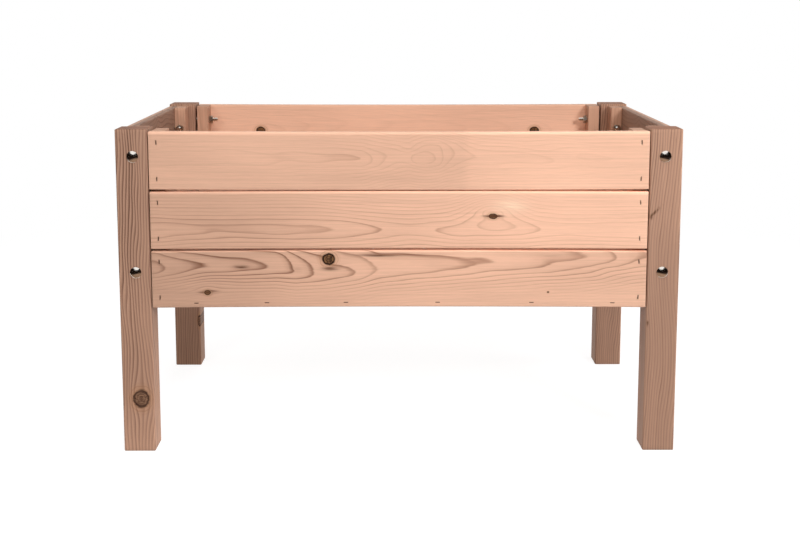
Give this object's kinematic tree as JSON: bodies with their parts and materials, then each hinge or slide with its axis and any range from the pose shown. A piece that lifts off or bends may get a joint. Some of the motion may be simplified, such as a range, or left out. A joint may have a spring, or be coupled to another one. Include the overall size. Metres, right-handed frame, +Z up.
{
  "type": "raised garden bed",
  "caption": "Long wooden planting box of horizontal boards, bolted between square corner posts that go on down as its legs, with a slatted floor.",
  "frame": {"origin": "on the ground under the middle of the bed", "axes": "+X along the bed's length, +Y from front to rear, +Z up"},
  "size_m": [0.8728, 0.5168, 0.508],
  "materials": {
    "post_wood": "planed softwood, upright grain, unfinished",
    "board_wood": "planed softwood with flat-sawn figure and knots, unfinished",
    "batten_wood": "sawn softwood, unfinished",
    "floor_wood": "planed softwood, unfinished",
    "bright_bolts": "bright zinc plate",
    "zinc_nuts": "bright zinc plate",
    "staple_wire": "galvanised wire, slightly dull"
  },
  "bodies": {
    "root": {"floor_slat_1": "floor_wood", "floor_slat_2": "floor_wood", "floor_slat_3": "floor_wood", "floor_slat_4": "floor_wood", "floor_slat_5": "floor_wood", "floor_slat_6": "floor_wood", "floor_slat_7": "floor_wood", "floor_slat_8": "floor_wood", "floor_slat_9": "floor_wood", "floor_staples": "staple_wire", "front_board_bottom": "board_wood", "front_board_middle": "board_wood", "front_board_top": "board_wood", "front_cleat_left": "batten_wood", "front_cleat_right": "batten_wood", "front_ledger": "batten_wood", "hex_nuts": "zinc_nuts", "ledger_staples": "staple_wire", "left_board_bottom": "board_wood", "left_board_middle": "board_wood", "left_board_top": "board_wood", "left_cleat_front": "batten_wood", "left_cleat_rear": "batten_wood", "left_ledger": "batten_wood", "long_panel_bolts": "bright_bolts", "panel_staples": "staple_wire", "post_front_left": "post_wood", "post_front_right": "post_wood", "post_rear_left": "post_wood", "post_rear_right": "post_wood", "rear_board_bottom": "board_wood", "rear_board_middle": "board_wood", "rear_board_top": "board_wood", "rear_cleat_left": "batten_wood", "rear_cleat_right": "batten_wood", "rear_ledger": "batten_wood", "right_board_bottom": "board_wood", "right_board_middle": "board_wood", "right_board_top": "board_wood", "right_cleat_front": "batten_wood", "right_cleat_rear": "batten_wood", "right_ledger": "batten_wood", "side_panel_bolts": "bright_bolts"}
  },
  "joints": []
}
